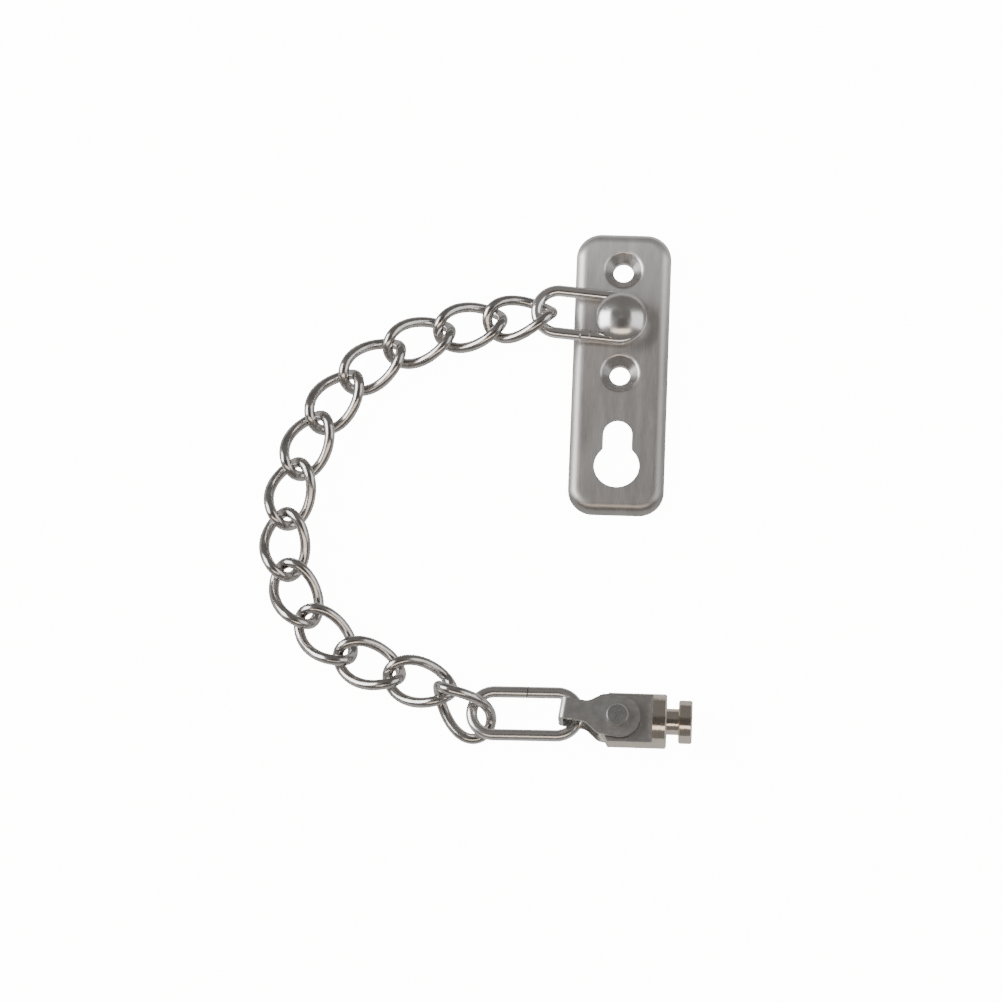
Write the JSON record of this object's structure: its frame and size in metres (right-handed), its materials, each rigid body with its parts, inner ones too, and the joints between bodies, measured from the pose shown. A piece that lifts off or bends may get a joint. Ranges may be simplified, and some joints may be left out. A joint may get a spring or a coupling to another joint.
{
  "type": "door chain guard",
  "caption": "Door security chain: curb links run from a screw-on keyhole plate with a dome rivet to a flat end link, a folded strap and a turned stud that slips into the keyhole.",
  "frame": {"origin": "on the dome rivet's axis, midway between the plate's two screw holes, on the plane of the plate's back rim", "axes": "+Z out of the front of the plate, +Y along the plate away from the keyhole, +X to the right; the chain lies on the plane z = 0"},
  "size_m": [0.1064, 0.1304, 0.0132],
  "materials": {
    "plate_steel": "brushed along its length",
    "rivet_polished": "polished",
    "plate_link_steel": "polished",
    "chain_steel": "polished, slightly worn",
    "end_link_steel": "satin",
    "strap_steel": "satin",
    "strap_rivet_steel": "polished",
    "stud_nickel": "turned and nickel plated, flats satin"
  },
  "bodies": {
    "plate": {"base_plate": "plate_steel", "dome_rivet": "rivet_polished"},
    "plate_link": {"plate_link": "plate_link_steel"},
    "link_01": {"chain_link_01": "chain_steel"},
    "link_02": {"chain_link_02": "chain_steel"},
    "link_03": {"chain_link_03": "chain_steel"},
    "link_04": {"chain_link_04": "chain_steel"},
    "link_05": {"chain_link_05": "chain_steel"},
    "link_06": {"chain_link_06": "chain_steel"},
    "link_07": {"chain_link_07": "chain_steel"},
    "link_08": {"chain_link_08": "chain_steel"},
    "link_09": {"chain_link_09": "chain_steel"},
    "link_10": {"chain_link_10": "chain_steel"},
    "link_11": {"chain_link_11": "chain_steel"},
    "link_12": {"chain_link_12": "chain_steel"},
    "link_13": {"chain_link_13": "chain_steel"},
    "end_link": {"end_link": "end_link_steel"},
    "strap": {"strap": "strap_steel", "strap_rivet": "strap_rivet_steel"},
    "stud": {"stud": "stud_nickel"}
  },
  "joints": [
    {"name": "plate_link_swivel", "type": "hinge", "parent": "plate", "child": "plate_link", "pos_m": [0, 0, 0.00575], "axis": [0, 0, 1], "range_deg": [-30, 40]},
    {"name": "link_01_hinge", "type": "hinge", "parent": "plate_link", "child": "link_01", "pos_m": [-0.0169, 0.00115, 0.005], "axis": [0, 0, -1], "range_deg": [-21, 45]},
    {"name": "link_02_hinge", "type": "hinge", "parent": "link_01", "child": "link_02", "pos_m": [-0.03075, -0.00158, 0.00355], "axis": [0, 0, 1], "range_deg": [-32, 14]},
    {"name": "link_03_hinge", "type": "hinge", "parent": "link_02", "child": "link_03", "pos_m": [-0.04336, -0.00395, 0.00355], "axis": [0, 0, -1], "range_deg": [-21, 35]},
    {"name": "link_04_hinge", "type": "hinge", "parent": "link_03", "child": "link_04", "pos_m": [-0.05546, -0.00884, 0.00355], "axis": [0, 0, 1], "range_deg": [-44, 12]},
    {"name": "link_05_hinge", "type": "hinge", "parent": "link_04", "child": "link_05", "pos_m": [-0.06574, -0.01688, 0.00355], "axis": [0, 0, -1], "range_deg": [-10, 46]},
    {"name": "link_06_hinge", "type": "hinge", "parent": "link_05", "child": "link_06", "pos_m": [-0.07304, -0.0277, 0.00355], "axis": [0, 0, 1], "range_deg": [-40, 16]},
    {"name": "link_07_hinge", "type": "hinge", "parent": "link_06", "child": "link_07", "pos_m": [-0.07793, -0.0398, 0.00355], "axis": [0, 0, -1], "range_deg": [-16, 40]},
    {"name": "link_08_hinge", "type": "hinge", "parent": "link_07", "child": "link_08", "pos_m": [-0.08019, -0.05265, 0.00355], "axis": [0, 0, 1], "range_deg": [-42, 14]},
    {"name": "link_09_hinge", "type": "hinge", "parent": "link_08", "child": "link_09", "pos_m": [-0.07928, -0.06567, 0.00355], "axis": [0, 0, -1], "range_deg": [-6, 50]},
    {"name": "link_10_hinge", "type": "hinge", "parent": "link_09", "child": "link_10", "pos_m": [-0.07356, -0.07739, 0.00355], "axis": [0, 0, 1], "range_deg": [-50, 6]},
    {"name": "link_11_hinge", "type": "hinge", "parent": "link_10", "child": "link_11", "pos_m": [-0.06386, -0.08613, 0.00355], "axis": [0, 0, -1], "range_deg": [-7, 49]},
    {"name": "link_12_hinge", "type": "hinge", "parent": "link_11", "child": "link_12", "pos_m": [-0.05168, -0.0908, 0.00355], "axis": [0, 0, 1], "range_deg": [-34, 22]},
    {"name": "link_13_hinge", "type": "hinge", "parent": "link_12", "child": "link_13", "pos_m": [-0.04, -0.0945, 0.0039], "axis": [0, 0, -1], "range_deg": [-12, 32]},
    {"name": "end_link_hinge", "type": "hinge", "parent": "link_13", "child": "end_link", "pos_m": [-0.029, -0.099, 0.0042], "axis": [0, 0, 1], "range_deg": [-45, 25]},
    {"name": "strap_hinge", "type": "hinge", "parent": "end_link", "child": "strap", "pos_m": [-0.0122, -0.0996, 0.0066], "axis": [0, 0, -1], "range_deg": [-30, 30]},
    {"name": "stud_hinge", "type": "hinge", "parent": "strap", "child": "stud", "pos_m": [0.0025, -0.1009, 0.0066], "axis": [0, 0, 1], "range_deg": [-105, 95]}
  ]
}
